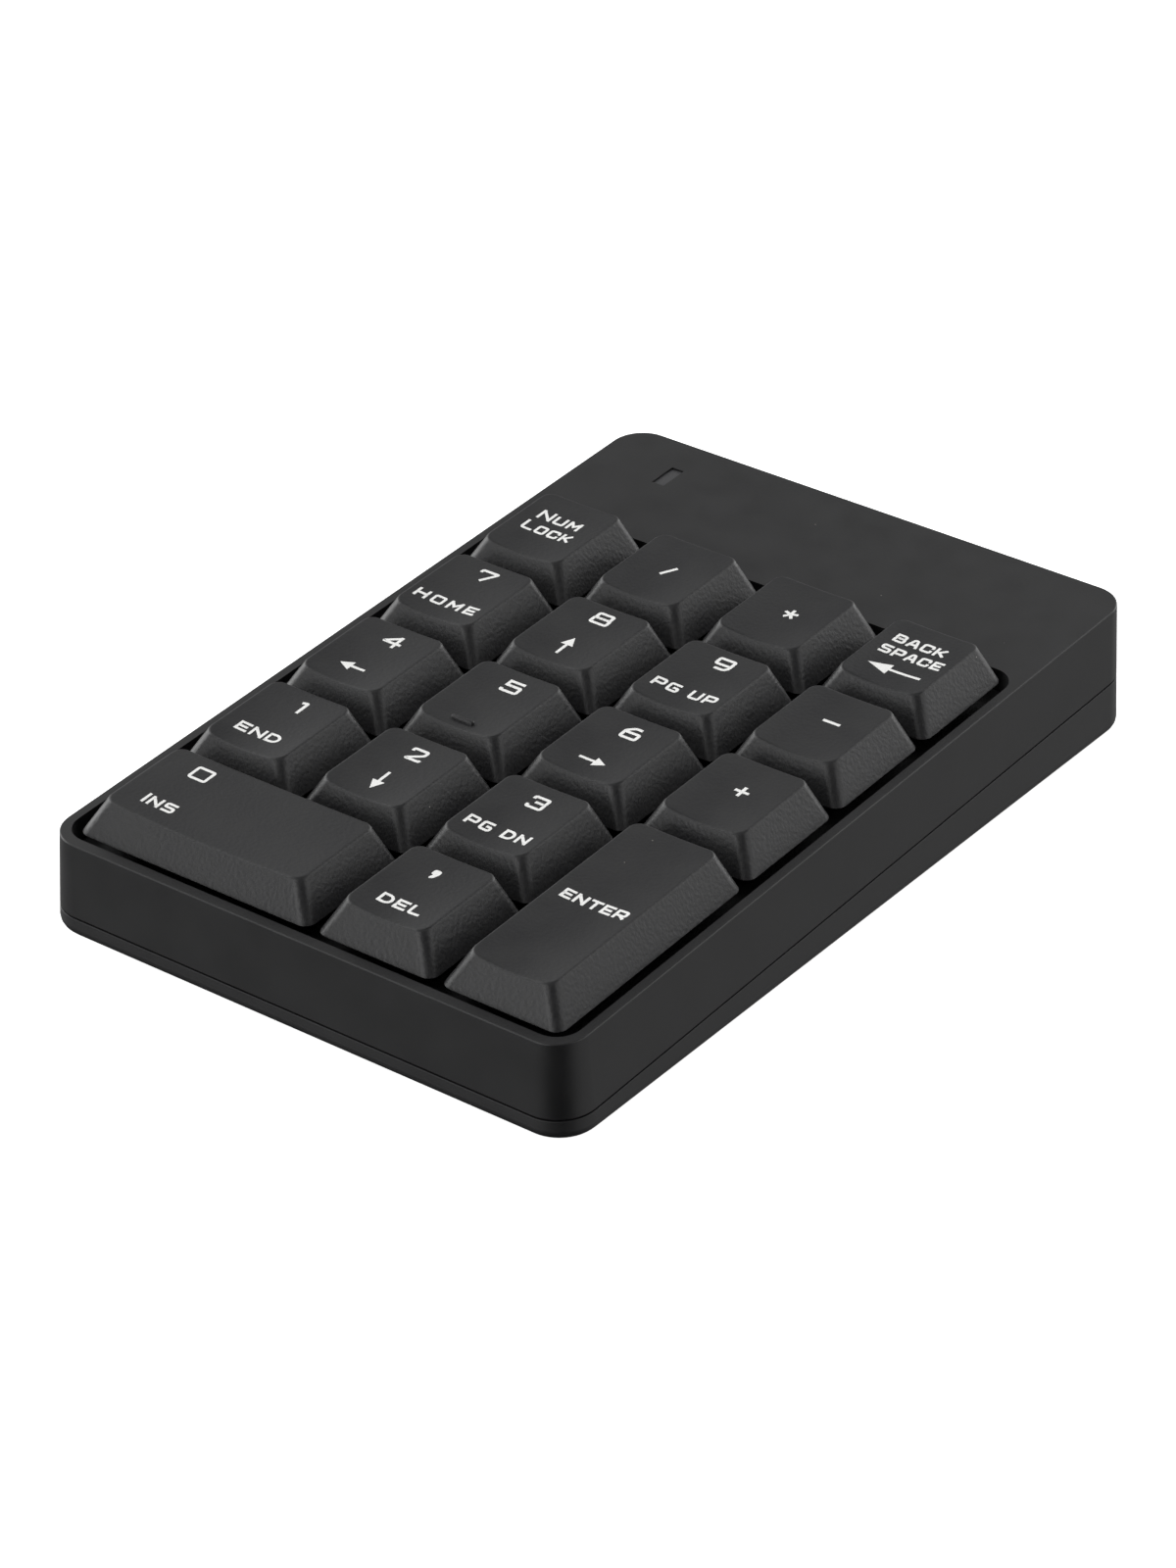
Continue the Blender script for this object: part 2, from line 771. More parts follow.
@dataclass(frozen=True)
class Stroke:
    """One line of a glyph, in a box from 0 to 1 both ways."""

    points: tuple[tuple[float, float], ...]
    corner: Corner = Corner.SOFT
    closed: bool = False

    def path(self, width: float, height: float, overrun: float) -> Array:
        """The stroke's line at a size, with round corners and with points close together.

        Open ends run on past their last point, so that they are as square as the sides of the box.

        Args:
            width: Width of the glyph's box.
            height: Height of the glyph's box.
            overrun: How far an open end runs on.

        Returns:
            Points by two.
        """
        raw = np.array(self.points) * (width, height)
        if not self.closed:
            first, last = raw[0] - raw[1], raw[-1] - raw[-2]
            raw[0] += first / np.linalg.norm(first) * overrun
            raw[-1] += last / np.linalg.norm(last) * overrun
        return divided(raw if self.corner is Corner.SHARP else self.rounded(raw), self.closed)

    def rounded(self, raw: Array) -> Array:
        """Rounds corners: each is a quadratic curve from a point before it to a point after it.

        The points lie no further off than the corner's value, nor than 0.45 of the shorter side.

        Args:
            raw: Points by two.

        Returns:
            Points by two, six to a corner.
        """
        if self.closed:
            before, after = np.roll(raw, 1, 0), np.roll(raw, -1, 0)
        else:
            before, after = np.vstack([raw[:1], raw[:-1]]), np.vstack([raw[1:], raw[-1:]])
        back, ahead = before - raw, after - raw
        back_l = np.maximum(np.linalg.norm(back, axis=1, keepdims=True), 1e-9)
        ahead_l = np.maximum(np.linalg.norm(ahead, axis=1, keepdims=True), 1e-9)
        reach = np.minimum(self.corner.value, 0.45 * np.minimum(back_l, ahead_l))
        start, end = raw + back / back_l * reach, raw + ahead / ahead_l * reach
        t = np.linspace(0, 1, 6)[None, :, None]
        parts = list((1 - t) ** 2 * start[:, None] + 2 * t * (1 - t) * raw[:, None]
                     + t ** 2 * end[:, None])
        if not self.closed:
            parts[0], parts[-1] = raw[:1], raw[-1:]
        return np.vstack(parts)


def divided(line: Array, closed: bool, step: float = 0.5) -> Array:
    """Puts more points on a line, so that it can follow a curved top, and drops its doubles.

    Each part between two points is cut into equal lengths, as few as its step allows.

    Args:
        line: Points by two.
        closed: Whether the line is a loop.
        step: The most that two neighbours may lie apart.

    Returns:
        Points by two.
    """
    ring = np.vstack([line, line[:1]]) if closed else line
    lengths = np.linalg.norm(np.diff(ring, axis=0), axis=1)
    counts = np.maximum(1, np.ceil(lengths / step)).astype(int)
    first = np.repeat(np.cumsum(counts) - counts, counts)
    share = (np.arange(counts.sum()) - first) * np.repeat(1 / counts, counts)
    dense = np.repeat(ring[:-1], counts, 0) + np.repeat(np.diff(ring, axis=0), counts, 0) * share[:, None]
    line = dense if closed else np.vstack([dense, ring[-1:]])
    keep = np.linalg.norm(np.diff(line, axis=0, prepend=line[:1] - 1), axis=1) > 1e-4
    return line[keep]


def bar(*points: tuple[float, float]) -> Stroke:
    """A stroke with sharp corners."""
    return Stroke(points, Corner.SHARP)


def bend(*points: tuple[float, float]) -> Stroke:
    """A stroke with soft corners."""
    return Stroke(points)


def loop(*points: tuple[float, float]) -> Stroke:
    """A closed stroke with soft corners."""
    return Stroke(points, Corner.SOFT, True)


@dataclass(frozen=True)
class Glyph:
    """A letter, digit or sign: its width against its height, and its strokes."""

    strokes: tuple[Stroke, ...]
    width: float = 1.12


GLYPHS: dict[str, Glyph] = {
    "A": Glyph((bend((.03, 0), (.34, 1), (.66, 1), (.97, 0)), bar((.25, .3), (.75, .3)))),
    "B": Glyph((bar((0, 0), (0, 1)), bend((0, 1), (.93, 1), (.93, .52), (0, .52)),
                bend((0, .52), (1, .52), (1, 0), (0, 0)))),
    "C": Glyph((bend((1, .76), (1, 1), (0, 1), (0, 0), (1, 0), (1, .24)),)),
    "D": Glyph((bar((0, 0), (0, 1)), bend((0, 1), (.7, 1), (1, .72), (1, .28), (.7, 0), (0, 0)))),
    "E": Glyph((bar((1, 1), (0, 1), (0, 0), (1, 0)), bar((0, .5), (.82, .5))), 1.0),
    "G": Glyph((bend((.95, 1), (0, 1), (0, 0), (1, 0), (1, .48), (.6, .48)),)),
    "H": Glyph((bar((0, 0), (0, 1)), bar((1, 0), (1, 1)), bar((0, .5), (1, .5)))),
    "I": Glyph((bar((.5, 0), (.5, 1)),), 0.01),
    "K": Glyph((bar((0, 0), (0, 1)), bar((.93, .95), (.33, .5), (.95, .05)), bar((.1, .5), (.3, .5))),
               1.05),
    "L": Glyph((bend((0, 1), (0, 0), (1, 0)),), 1.0),
    "M": Glyph((bar((0, 0), (0, 1)), bar((1, 0), (1, 1)), bar((.1, .88), (.5, .36), (.9, .88))), 1.2),
    "N": Glyph((bar((0, 0), (0, 1)), bar((1, 0), (1, 1)), bar((.13, .87), (.87, .13)))),
    "O": Glyph((loop((0, 0), (1, 0), (1, 1), (0, 1)),)),
    "P": Glyph((bar((0, 0), (0, 1)), bend((0, 1), (1, 1), (1, .38), (0, .38)))),
    "R": Glyph((bar((0, 0), (0, 1)), bend((0, 1), (1, 1), (1, .38), (0, .38)),
                bar((.5, .35), (.93, .06)))),
    "S": Glyph((bend((.95, 1), (0, 1), (0, .52), (1, .52), (1, 0), (.05, 0)),)),
    "T": Glyph((bar((0, 1), (1, 1)), bar((.5, .9), (.5, 0)))),
    "U": Glyph((bend((0, 1), (0, 0), (1, 0), (1, 1)),)),
    " ": Glyph((), 0.3),
    "0": Glyph((loop((0, 0), (1, 0), (1, 1), (0, 1)),), 1.1),
    "1": Glyph((bend((0, .92), (1, 1), (1, 0)),), 0.25),
    "2": Glyph((bend((0, .86), (0, 1), (.96, 1), (.96, .62), (.02, .0), (1, 0), (1, .03)),), 0.97),
    "3": Glyph((bend((0, .88), (0, 1), (1, 1), (1, .52), (.4, .52)),
                bend((.5, .52), (1, .52), (1, 0), (0, 0), (0, .12))), 0.94),
    "4": Glyph((bar((.78, 0), (.78, 1)), bend((.7, .93), (0, .35), (1, .35))), 1.14),
    "5": Glyph((bar((.92, 1), (.06, 1), (.06, .58), (.4, .58)),
                bend((.3, .58), (1, .58), (1, 0), (0, 0), (0, .08))), 1.06),
    "6": Glyph((bend((.78, 1), (.42, 1), (0, .62), (0, 0), (1, 0), (1, .53), (.1, .53)),), 1.01),
    "7": Glyph((bend((0, .86), (0, 1), (1, 1), (.46, .03)),)),
    "8": Glyph((loop((.05, .52), (.05, 1), (.95, 1), (.95, .52)),
                loop((0, 0), (0, .52), (1, .52), (1, 0))), 1.1),
    "9": Glyph((bend((.28, 0), (.8, 0), (1, .22), (1, 1), (0, 1), (0, .44), (.9, .44)),), 1.03),
    "/": Glyph((bar((.08, .08), (.92, .92)),), 0.58),
    "+": Glyph((bar((.1, .5), (.9, .5)), bar((.5, .1), (.5, .9))), 1.0),
    "-": Glyph((bar((.1, .5), (.9, .5)),), 1.2),
    "*": Glyph(tuple(bar((.5, .5), (.5 + .4 * math.cos(math.radians(90 + 72 * i)),
                                    .5 + .4 * math.sin(math.radians(90 + 72 * i))))
                     for i in range(5)), 1.0),
}


@dataclass(frozen=True)
class Mark:
    """White print on a keycap, drawn about its own middle."""

    stroke: float = 0.4

    def lines(self) -> list[tuple[Array, bool]]:
        """The centre lines of the strokes, each with whether it is closed."""
        return []

    def fills(self) -> list[Array]:
        """The outlines of the filled shapes."""
        return []


@dataclass(frozen=True)
class Word(Mark):
    """A line of glyphs side by side, all stretched alike where a width is asked for.

    The first may stand taller than the others, by the factor first.
    """

    text: str = ""
    height: float = 1.88
    width: float = 0.0
    gap: float = 0.42
    first: float = 1.0

    def lines(self) -> list[tuple[Array, bool]]:
        """Sets the glyphs side by side, a gap apart, about the middle of the word.

        Returns:
            The centre line of each stroke, with whether it is closed.
        """
        inner = self.height - self.stroke
        tall = np.array([self.first] + [1.0] * (len(self.text) - 1))
        widths = np.array([GLYPHS[c].width for c in self.text]) * inner * tall
        spare = self.width - len(widths) * self.stroke - (len(widths) - 1) * self.gap
        widths = widths * (spare / widths.sum() if self.width > 0 else 1.0)
        starts = np.cumsum(np.concatenate([[0], widths[:-1] + self.stroke + self.gap]))
        middle = (starts[-1] + widths[-1]) / 2
        return [(stroke.path(max(w, 1e-3), inner * t, self.stroke / 2) + (x - middle, -inner / 2),
                 stroke.closed)
                for c, w, x, t in zip(self.text, widths, starts, tall)
                for stroke in GLYPHS[c].strokes]


@dataclass(frozen=True)
class Arrow(Mark):
    """A straight arrow with a filled head, pointing along an angle from +u."""

    angle: float = 0.0
    length: float = 4.0
    head_l: float = 1.85
    head_w: float = 1.85

    def turned(self, points: Array) -> Array:
        """Points turned to the arrow's angle."""
        a = math.radians(self.angle)
        return points @ np.array([[math.cos(a), math.sin(a)], [-math.sin(a), math.cos(a)]])

    def lines(self) -> list[tuple[Array, bool]]:
        """The shaft, from the tail to just inside the head."""
        x = np.linspace(-self.length / 2, self.length / 2 - self.head_l + 0.1, 9)
        return [(self.turned(np.stack([x, 0 * x], 1)), False)]

    def fills(self) -> list[Array]:
        """The head, a triangle with points along its sides so that it follows the dish.

        Returns:
            Its outline.
        """
        tip, base = self.length / 2, self.length / 2 - self.head_l
        corners = np.array([[tip, 0], [base, self.head_w / 2], [base, -self.head_w / 2]])
        t = np.linspace(0, 1, 5, endpoint=False)[None, :, None]
        sides = corners[:, None] + (np.roll(corners, -1, 0) - corners)[:, None] * t
        return [self.turned(sides.reshape(-1, 2))]


@dataclass(frozen=True)
class Comma(Mark):
    """A comma: a squarish dot that narrows into a tail to the lower left."""

    size: float = 1.1
    tail: float = 0.75
    squareness: float = 0.6

    def fills(self) -> list[Array]:
        """Draws three quarters of a superellipse, then two sides that meet in the tail's tip.

        The superellipse raises the cosine and sine of its angle to the power of squareness.

        Returns:
            The one outline.
        """
        r = self.size / 2
        a = np.radians(np.linspace(-35, 215, 22))
        turn = np.stack([np.cos(a), np.sin(a)], 1)
        dot = r * np.sign(turn) * np.abs(turn) ** self.squareness + (0, 0.35)
        tip = np.array([[-0.25 * r, 0.3 - r * 0.75], [-0.7 * r, 0.35 - r - self.tail * 0.8],
                        [-0.35 * r, 0.35 - r - self.tail], [0.5 * r, -r - 0.1]])
        return [np.vstack([dot, tip])]


def ribbon_edges(path: Array, width: float, closed: bool) -> tuple[Array, Array]:
    """The two sides of a stroke, mitred at its corners.

    A side lies half a width off the line, along the mean of its two neighbours' normals, stretched
    so that both straight parts keep their width, but no further than 1 / 0.45 times.

    Args:
        path: The centre line.
        width: The stroke's width.
        closed: Whether the line is a loop.

    Returns:
        The left and the right side, each as many points as the line.
    """
    if closed:
        ahead = np.roll(path, -1, 0) - path
        behind = path - np.roll(path, 1, 0)
    else:
        step = np.diff(path, axis=0)
        ahead, behind = np.vstack([step, step[-1:]]), np.vstack([step[:1], step])
    ahead /= np.linalg.norm(ahead, axis=1, keepdims=True)
    behind /= np.linalg.norm(behind, axis=1, keepdims=True)
    normal_a = np.stack([-ahead[:, 1], ahead[:, 0]], 1)
    normal_b = np.stack([-behind[:, 1], behind[:, 0]], 1)
    mean = normal_a + normal_b
    mean /= np.maximum(np.linalg.norm(mean, axis=1, keepdims=True), 1e-9)
    stretch = 1 / np.clip((mean * normal_a).sum(1, keepdims=True), 0.45, 1)
    return path + mean * stretch * width / 2, path - mean * stretch * width / 2


# ---- Keys -----------------------------------------------------------------------------------


# A mark on a key, the image point that it follows, and its shift from there across and along.
Legend = tuple[Mark, str, tuple[float, float]]


@dataclass
class Keycap:
    """One keycap: a tapered, hollow cap with a dished top, a plunger below and print on top.

    Points on it are given as u across and v along from its middle, and n above the deck.
    """

    node: str
    deck: Deck
    legends: tuple[Legend, ...] = ()
    homing_bar: bool = False
    # The outside: levels of foot and top, depth of the dish, how far the walls lean in, radii.
    foot: float = -0.4
    top: float = 4.4
    dish_front: float = 0.45
    dish_back: float = 0.15
    taper_side: float = 2.79
    taper_front: float = 2.5
    taper_back: float = 1.2
    base_r: float = 1.6
    rim_r: float = 1.5
    edge: float = 0.26
    foot_inset: float = 0.12
    # The inside: wall, level of the roof, and the plunger with its ribs and barbs.
    wall: float = 1.2
    ceiling: float = 2.65
    ceiling_edge: float = 0.3
    plunger_r: float = 2.8
    plunger_bore: float = 1.6
    plunger_end: float = -4.6
    bore_top: float = 0.6
    rib_w: float = 1.4
    rib_reach: float = 3.7
    rib_end: float = -4.5
    leg_near: float = 3.1
    leg_drop: float = 0.5
    barb_reach: float = 4.15
    # How far the plunger and the clips go into the roof, and the play of the wire in its clips.
    root: float = 0.2
    play: float = 0.05
    # A long cap's clips and the wire that turns in them.
    wire_r: float = 0.6
    wire_n: float = -0.1
    wire_offset: float = 5.8
    clip_at: float = 9
    clip_w: float = 1.6
    clip_gap: float = 0.45
    clip_drop: float = 0.6
    clip_sides: tuple[float, float] = (1.1, -1.2)
    # The homing bar, and each of its rings: how far drawn in and how far above the dish.
    bar_half_w: float = 1.75
    bar_half_l: float = 0.35
    bar_v: float = -5.05
    bar_rings: tuple[tuple[float, float], ...] = ((0, -0.2), (0, 0.27), (0.05, 0.33), (0.13, 0.36))
    # Half the thickness of the ink, and the steps in a corner of the cap.
    ink: float = 0.025
    arc: int = 8

    def __post_init__(self) -> None:
        """Reads the cap's place and base from its CAD node's box."""
        low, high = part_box(self.node)
        self.x = (low.x + high.x) / 2 / MM
        self.half_w = (high.x - low.x) / 2 / MM
        self.s_low = self.deck.slope_of(low.y / MM, self.foot)
        self.s_high = self.deck.slope_of(high.y / MM, self.foot)
        self.s = (self.s_low + self.s_high) / 2
        self.half_l = (self.s_high - self.s_low) / 2
        self.rim_half_w = self.half_w - self.taper_side
        self.rim_low = self.taper_front - self.half_l
        self.rim_high = self.half_l - self.taper_back
        self.steps_u = 25 if self.half_w > LONG_KEY else 13
        self.steps_v = 17 if self.half_l > LONG_KEY else 9

    def place(self, u: Array, v: Array, n: Array) -> Array:
        """World points of points about the cap's middle."""
        return self.deck.place(self.x + u, self.s + v, n)

    def place_all(self, points: Array) -> Array:
        """World points of an array whose last axis is u, v and n."""
        return self.place(*np.moveaxis(points, -1, 0))

    def on_top(self, plan: Array, lift: Array | float = 0.0) -> Array:
        """Raises a plan to the dished top.

        Args:
            plan: An array whose last axis is u and v.
            lift: Heights above the dish.

        Returns:
            The same array with n added.
        """
        level = self.top_level(plan[..., 0], plan[..., 1]) + lift
        return np.concatenate([plan, level[..., None]], -1)

    def top_level(self, u: Array, v: Array) -> Array:
        """Height of the dished top: a parabola across, deepest at the front edge of the rim.

        Args:
            u: Distances across from the cap's middle.
            v: Distances along from the cap's middle.

        Returns:
            Heights above the deck.
        """
        back = np.clip((v - self.rim_low) / (self.rim_high - self.rim_low), 0, 1)
        depth = self.dish_front + (self.dish_back - self.dish_front) * back
        return self.top - depth * (1 - np.clip(u / self.rim_half_w, -1, 1) ** 2)

    def ring(self, inset: float, at_rim: bool) -> Array:
        """The cap's plan at its foot or at its rim.

        Args:
            inset: How far inside the outer face.
            at_rim: Whether the ring is at the rim.

        Returns:
            Points by two about the cap's middle.
        """
        marks = np.linspace(-1, 1, self.steps_u + 1)[1:-1]
        sides = np.linspace(-1, 1, self.steps_v + 1)[1:-1]
        if at_rim:
            half_w, radius = self.rim_half_w, self.rim_r
            low, high = self.rim_low, self.rim_high
        else:
            half_w, radius, low, high = self.half_w, self.base_r, -self.half_l, self.half_l
        radius -= inset / 2
        half_w -= inset
        return rounded_ring(half_w, low + inset, high - inset, radius, self.arc,
                            marks, sides, marks * (half_w - radius))

    def wall_points(self) -> tuple[Array, Array]:
        """Rings up the outer wall, and the ring where the wall would meet the dish.

        The wall is ruled from the foot's ring to the rim's ring. Where it meets the dish is found by
        going up each ruling to the dish's height at that place, three times over.

        Returns:
            Rings by points by three, and points by three, both about the cap's middle.
        """
        foot, rim = self.ring(0, False), self.ring(0, True)
        tall = self.top - self.foot
        t = np.ones(len(foot))
        for _ in range(3):
            plan = foot + (rim - foot) * t[:, None]
            t = (self.top_level(plan[:, 0], plan[:, 1]) - self.foot) / tall

        def at(share: float) -> Array:
            """Points at a share of the way from the foot to the meeting line."""
            flat = foot + (rim - foot) * (t * share)[:, None]
            return np.column_stack([flat, self.foot + tall * t * share])

        return np.stack([at(share) for share in (0.0, 0.02, 0.3, 0.6, 0.85)]), at(1.0)

    def body(self) -> Surface:
        """The cap's own surface: outer wall, rounded rim, dished top, hollow and plunger.

        The rim is a quadratic curve from a point on the wall to a point on the top, with the line
        where the two meet as its handle. The top is a Coons patch of the rim's last ring, its height
        taken from the dish.

        Returns:
            The surface.
        """
        rings, meet = self.wall_points()
        down = rings[-1] - meet
        down /= np.linalg.norm(down, axis=1, keepdims=True)
        inner = self.on_top(meet[:, :2] + self.ring(self.edge, True) - self.ring(0, True))
        outer = meet + down * self.edge
        t = np.linspace(0, 1, 6)[:, None, None]
        rim = (1 - t) ** 2 * outer + 2 * t * (1 - t) * meet + t ** 2 * inner
        low_edge = rings[0].copy()
        low_edge[:, :2] = self.ring(self.foot_inset, False)
        surface = Surface()
        surface.grid(self.place_all(np.concatenate([low_edge[None], rings[1:], rim])), wrap_cols=True)
        surface.grid(self.place_all(self.on_top(self.coons(rim[-1][:, :2]))))
        self.hollow(surface, low_edge)
        self.plunger(surface)
        return surface

    def coons(self, ring: Array) -> Array:
        """Fills a ring with a grid: the sum of the two ruled patches less the corner patch.

        Args:
            ring: The ring, from the middle of its front left corner.

        Returns:
            Rows by columns by two.
        """
        nu, nv = self.arc + self.steps_u, self.arc + self.steps_v
        front = ring[:nu + 1]
        right = ring[nu:nu + nv + 1]
        back = ring[nu + nv:2 * nu + nv + 1][::-1]
        left = np.vstack([ring[2 * nu + nv:], ring[:1]])[::-1]
        u = np.linspace(0, 1, nu + 1)[None, :, None]
        v = np.linspace(0, 1, nv + 1)[:, None, None]
        ruled = (1 - v) * front[None] + v * back[None] + (1 - u) * left[:, None] + u * right[:, None]
        corners = ((1 - u) * (1 - v) * front[0] + u * (1 - v) * front[-1]
                   + (1 - u) * v * back[0] + u * v * back[-1])
        return ruled - corners

    def hollow(self, surface: Surface, foot: Array) -> None:
        """Adds the inside of the cap: walls that lean as the outer ones do, and a roof with a round edge.

        Args:
            surface: The cap's surface so far.
            foot: The ring at the foot of the outer wall.
        """
        low, high = self.ring(self.wall, False), self.ring(self.wall, True)
        share = (self.ceiling - self.foot) / (self.top - self.foot)
        roof, soft = low + (high - low) * share, low + (high - low) * (share - 0.06)
        centre = roof.mean(0)
        rings = [foot] + [np.column_stack([plan, np.full(len(plan), level)]) for plan, level in (
            (low, self.foot), (soft, self.ceiling - self.ceiling_edge),
            (centre + (roof - centre) * 0.97, self.ceiling))]
        surface.grid(self.place_all(np.stack(rings)), wrap_cols=True)
        surface.fan(self.place_all(rings[-1]))

    def plunger(self, surface: Surface) -> None:
        """Adds the plunger: a tube, and two ribs whose barbed legs keep the cap in the guide.

        The tube is a profile turned round the cap's middle. Each rib is three boxes: the rib, its
        leg and the leg's barb.

        Args:
            surface: The cap's surface so far.
        """
        top, end = self.ceiling + self.root, self.plunger_end
        r, bore, bore_top = self.plunger_r, self.plunger_bore, self.bore_top
        profile = np.array([[0, top], [r, top], [r, end + 0.3], [r - 0.3, end], [bore + 0.1, end],
                            [bore, end + 0.1], [bore, bore_top], [bore - 0.2, bore_top + 0.2],
                            [0, bore_top + 0.2]])
        surface.lathe(profile, self.place, 36)
        half = np.array([-0.5, 0.5]) * self.rib_w
        leg_end, reach = end - self.leg_drop, self.rib_reach
        for side in (-1, 1):
            for near, far, low, high in (
                    (r - 0.3, reach, self.rib_end, top),
                    (self.leg_near + 0.05, reach, leg_end + 0.05, self.rib_end + 0.4),
                    (self.leg_near, self.barb_reach, leg_end, self.rib_end - 0.08)):
                surface.box(self.place, np.array([near, far]) * side, half, np.array([low, high]))

    def clips(self, surface: Surface) -> None:
        """Adds a long cap's two clips, each a block round a bore that opens downwards.

        The clip is a strip between two paths, the bore with its way in and the block's outline. Both
        go over the wire from one foot to the other in twelve steps.

        Args:
            surface: The cap's surface so far.
        """
        along_x = self.half_w > self.half_l
        r, top = self.wire_r + self.play, self.ceiling + self.root
        foot = self.wire_n - self.wire_r - self.clip_drop
        front, back = self.clip_sides
        t = np.linspace(0, 1, 13)
        opening = math.asin(self.clip_gap / r)
        a = opening - math.pi / 2 + np.linspace(0, 1, 11) * 2 * (math.pi - opening)
        inner_y = np.concatenate([[self.clip_gap], r * np.cos(a), [-self.clip_gap]])
        inner_z = np.concatenate([[foot], self.wire_n + r * np.sin(a), [foot]])
        outer_y = np.interp(t, (0, 1 / 3, 2 / 3, 1), (front, front, back, back))
        outer_z = np.interp(t, (0, 1 / 3, 2 / 3, 1), (foot, top, top, foot))
        across = np.stack([inner_y, outer_y, outer_y, inner_y], 1) + self.wire_offset
        level = np.stack([inner_z, outer_z, outer_z, inner_z], 1)
        ends = np.array([-0.5, -0.5, 0.5, 0.5]) * self.clip_w
        for side in (-1, 1):
            along = side * self.clip_at + ends + 0 * across
            u, v = (along, across) if along_x else (-across, along)
            surface.strip(self.place(u, v, level))

    def build(self) -> bpy.types.Object:
        """Makes the cap's object.

        Returns:
            The keycap, which stands for its CAD node.
        """
        surface = self.body()
        if self.homing_bar:
            self.add_homing_bar(surface)
        if max(self.half_w, self.half_l) > LONG_KEY:
            self.clips(surface)
        name = f"cap_{self.node[4:]}"
        return add_piece(name, surface.mesh(name), KEY_ABS, self.node, Edge(40), "key_plastic",
                         (self.node,))

    def add_homing_bar(self, surface: Surface) -> None:
        """Adds the raised bar that a finger finds: rings of a long rounded plan, drawn in at the top.

        Args:
            surface: The cap's surface so far.
        """
        half_w, half_l, v = self.bar_half_w, self.bar_half_l, self.bar_v
        marks = np.linspace(-1, 1, 8)[1:-1]
        rings = []
        for inset, lift in self.bar_rings:
            w, l = half_w - inset, half_l - inset
            ring = rounded_ring(w, v - l, v + l, l * 0.95, 4, marks, marks[:0], marks * (w - l))
            rings.append(self.on_top(ring, lift))
        surface.grid(self.place_all(np.stack(rings)), wrap_cols=True)
        for ring in (rings[0], rings[-1]):
            surface.fan(self.place_all(ring))

    def print_legends(self, placer: "Placer") -> None:
        """Prints the cap's legends where the image points put them.

        Args:
            placer: Finds a place on a cap from an image point.
        """
        for i, (mark, point, shift) in enumerate(self.legends):
            u, v = placer.cap_place(point) - (self.half_w, self.half_l)
            name = f"legend_{self.node[4:]}_{i}"
            mesh = self.printed(mark, u + shift[0], v + shift[1]).mesh(name)
            add_piece(name, mesh, LEGEND_INK, self.node, Edge(60), "key_plastic")

    def printed(self, mark: Mark, u: float, v: float) -> Surface:
        """Builds print as thin ribbons and plates that follow the dish.

        A ribbon is a flat rectangle carried along a stroke, its upper side just above the dish and
        its lower side just below. A plate is a filled outline, as thick.

        Args:
            mark: What is printed.
            u: Its middle across the cap.
            v: Its middle along the cap.

        Returns:
            The surface.
        """
        surface = Surface()
        lift = np.array([self.ink, self.ink, -self.ink, -self.ink])
        for path, closed in mark.lines():
            left, right = ribbon_edges(path + (u, v), mark.stroke, closed)
            plan = np.stack([left, right, right, left], 1)
            surface.strip(self.place_all(self.on_top(plan, lift)), closed)
        for outline in mark.fills():
            sides = [self.place_all(self.on_top(outline + (u, v), step))
                     for step in (self.ink, -self.ink)]
            surface.grid(np.stack(sides), wrap_cols=True)
            for side in sides:
                surface.fan(side)
        return surface


# What is printed on each key: only the common signs of a numeric keypad. Print without an image point
# of its own follows a neighbour's, from the same corner of its own cap.
LEGENDS: dict[str, tuple[Legend, ...]] = {
    "num_lock": ((Word(text="NUM", width=6.75, first=1.2), "num_lock", (-.12, 1.54)),
                 (Word(text="LOCK", width=7.85, gap=.36, first=1.2), "num_lock", (.1, -1.6))),
    "divide": ((Word(.46, "/", 2.65), "divide", (0, 0)),),
    "multiply": ((Word(.43, "*", 2.5), "multiply", (0, 0)),),
    "backspace": ((Word(text="BACK", width=7.8, gap=.3), "space_word", (-.5, 2.89)),
                  (Word(text="SPACE", width=9.4, gap=.3), "space_word", (.04, -.04)),
                  (Arrow(.42, 180, 7.95, 3.25, 2.2), "space_word", (-.08, -3.77))),
    "7": ((Word(.46, "7", 2.7), "seven", (0, 0)),
          (Word(text="HOME", width=9.9, gap=.7), "home", (0, 0))),
    "8": ((Word(.46, "8", 2.7), "seven", (0, .07)),
          (Arrow(.42, 90, 4.1), "home", (.165, .42))),
    "9": ((Word(.46, "9", 2.7), "seven", (.33, .02)),
          (Word(text="PG UP", width=9.75), "home", (.325, .1))),
    "minus": ((Word(.46, "-", 2.65), "plus", (.14, .05)),),
    "4": ((Word(.46, "4", 2.7), "five", (-.5, .02)),
          (Arrow(.42, 180, 4.0), "left_arrow", (0, 0))),
    "5": ((Word(.46, "5", 2.7), "five", (0, 0)),),
    "6": ((Word(.46, "6", 2.7), "five", (-.08, -.09)),
          (Arrow(.42, 0, 4.0, 1.68, 1.9), "left_arrow", (.55, -.24))),
    "plus": ((Word(.46, "+", 2.5), "plus", (0, 0)),),
    "1": ((Word(.46, "1", 2.7), "two", (.06, .31)),
          (Word(text="END", width=6.85), "end", (0, 0))),
    "2": ((Word(.46, "2", 2.7), "two", (0, 0)),
          (Arrow(.42, -90, 4.1), "end", (.33, .21))),
    "3": ((Word(.46, "3", 2.7), "two", (.02, -.05)),
          (Word(text="PG DN", width=9.55), "end", (.27, -.38))),
    "enter": ((Word(text="ENTER", width=9.55, gap=.3), "enter", (0, 0)),),
    "0": ((Word(.42, "0", 2.68), "zero", (0, 0)),
          (Word(text="INS", width=4.95, first=1.1), "insert", (0, 0))),
    "decimal": ((Comma(), "comma", (0, 0)),
                (Word(text="DEL", width=6.45), "insert", (.02, 0))),
}


# ---- Case, mechanism and electrics ----------------------------------------------------------


